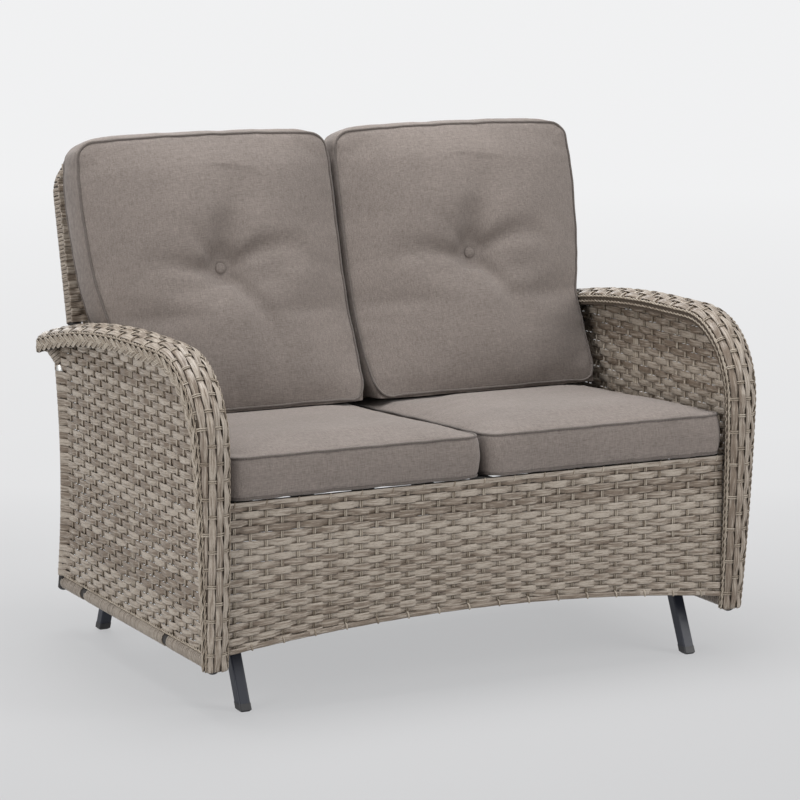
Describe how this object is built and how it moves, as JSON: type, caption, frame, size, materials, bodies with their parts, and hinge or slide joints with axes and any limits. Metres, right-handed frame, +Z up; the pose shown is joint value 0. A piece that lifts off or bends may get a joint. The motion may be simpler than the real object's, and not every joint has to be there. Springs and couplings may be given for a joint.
{
  "type": "patio glider loveseat",
  "caption": "Woven patio loveseat glider with curved arms, loose box cushions and a splayed steel base carrying swing links.",
  "frame": {"origin": "on the floor, under the middle of the outer box", "axes": "+X to the right as seen from the front, +Y to the back, +Z up"},
  "size_m": [1.15, 0.805, 0.9617],
  "materials": {
    "wicker": "satin",
    "frame_paint": "satin",
    "leg_paint": "satin",
    "link_paint": "satin",
    "black_bolt": "satin",
    "black_plastic": "matte",
    "nylon": "matte",
    "zinc": "zinc plated",
    "webbing": "woven",
    "cushion_cloth": "heathered"
  },
  "bodies": {
    "seat": {"apron_rail": "frame_paint", "arm_band_left": "wicker", "arm_band_right": "wicker", "arm_bracket_bolts": "black_bolt", "arm_bracket_rings": "zinc", "arm_rod_left": "frame_paint", "arm_rod_right": "frame_paint", "arm_strut_left": "frame_paint", "arm_strut_right": "frame_paint", "arm_tube_left": "frame_paint", "arm_tube_right": "frame_paint", "back_loop": "frame_paint", "back_panel": "wicker", "back_rib": "frame_paint", "back_wrap": "wicker", "deck_front_rail": "frame_paint", "deck_middle_rail": "frame_paint", "deck_rear_rail": "frame_paint", "deck_side_rail_left": "frame_paint", "deck_side_rail_right": "frame_paint", "front_apron": "wicker", "hangers": "link_paint", "lower_pivot_bolts": "black_bolt", "post_caps": "black_plastic", "rail_wraps": "wicker", "rear_post_left": "frame_paint", "rear_post_right": "frame_paint", "rear_stretcher": "frame_paint", "seat_straps": "webbing", "side_panel_left": "wicker", "side_panel_right": "wicker", "side_rail_left": "frame_paint", "side_rail_right": "frame_paint"},
    "back_cushion_left": {"back_button_left": "cushion_cloth", "back_cushion_left": "cushion_cloth"},
    "back_cushion_right": {"back_button_right": "cushion_cloth", "back_cushion_right": "cushion_cloth"},
    "base": {"base_cross_front": "leg_paint", "base_cross_rear": "leg_paint", "base_leg_front_left": "leg_paint", "base_leg_front_right": "leg_paint", "base_leg_rear_left": "leg_paint", "base_leg_rear_right": "leg_paint", "base_rail_left": "leg_paint", "base_rail_right": "leg_paint", "foot_caps": "black_plastic", "pivot_spacers": "black_bolt", "upper_pivot_bolts": "black_bolt"},
    "link_front_left": {"link_bushes_front_left": "nylon", "swing_link_front_left": "link_paint"},
    "link_front_right": {"link_bushes_front_right": "nylon", "swing_link_front_right": "link_paint"},
    "link_rear_left": {"link_bushes_rear_left": "nylon", "swing_link_rear_left": "link_paint"},
    "link_rear_right": {"link_bushes_rear_right": "nylon", "swing_link_rear_right": "link_paint"},
    "seat_cushion_left": {"seat_cushion_left": "cushion_cloth"},
    "seat_cushion_right": {"seat_cushion_right": "cushion_cloth"}
  },
  "joints": [
    {"name": "glide_front_left", "type": "hinge", "parent": "base", "child": "link_front_left", "pos_m": [-0.5079, -0.175, 0.3], "axis": [1, 0, 0], "range_deg": [-18, 18]},
    {"name": "glide_front_right", "type": "hinge", "parent": "base", "child": "link_front_right", "pos_m": [0.5079, -0.175, 0.3], "axis": [1, 0, 0], "range_deg": [-18, 18]},
    {"name": "glide_rear_left", "type": "hinge", "parent": "base", "child": "link_rear_left", "pos_m": [-0.5079, 0.228, 0.3], "axis": [1, 0, 0], "range_deg": [-18, 18]},
    {"name": "glide_rear_right", "type": "hinge", "parent": "base", "child": "link_rear_right", "pos_m": [0.5079, 0.228, 0.3], "axis": [1, 0, 0], "range_deg": [-18, 18]},
    {"name": "seat_swing", "type": "hinge", "parent": "link_front_left", "child": "seat", "pos_m": [-0.5079, -0.175, 0.135], "axis": [1, 0, 0], "range_deg": [-18, 18]},
    {"name": "seat_cushion_left_slide", "type": "slide", "parent": "seat", "child": "seat_cushion_left", "axis": [0, -0.9986, 0.0523], "range_m": [0, 0.16]},
    {"name": "back_cushion_left_lift", "type": "slide", "parent": "seat", "child": "back_cushion_left", "axis": [0, 0.2419, 0.9703], "range_m": [0, 0.25]},
    {"name": "seat_cushion_right_slide", "type": "slide", "parent": "seat", "child": "seat_cushion_right", "axis": [0, -0.9986, 0.0523], "range_m": [0, 0.16]},
    {"name": "back_cushion_right_lift", "type": "slide", "parent": "seat", "child": "back_cushion_right", "axis": [0, 0.2419, 0.9703], "range_m": [0, 0.25]}
  ],
  "couplings": [
    {"joint": "glide_front_right", "follows": "glide_front_left", "ratio": 1},
    {"joint": "glide_rear_left", "follows": "glide_front_left", "ratio": 1},
    {"joint": "glide_rear_right", "follows": "glide_front_left", "ratio": 1},
    {"joint": "seat_swing", "follows": "glide_front_left", "ratio": -1}
  ]
}
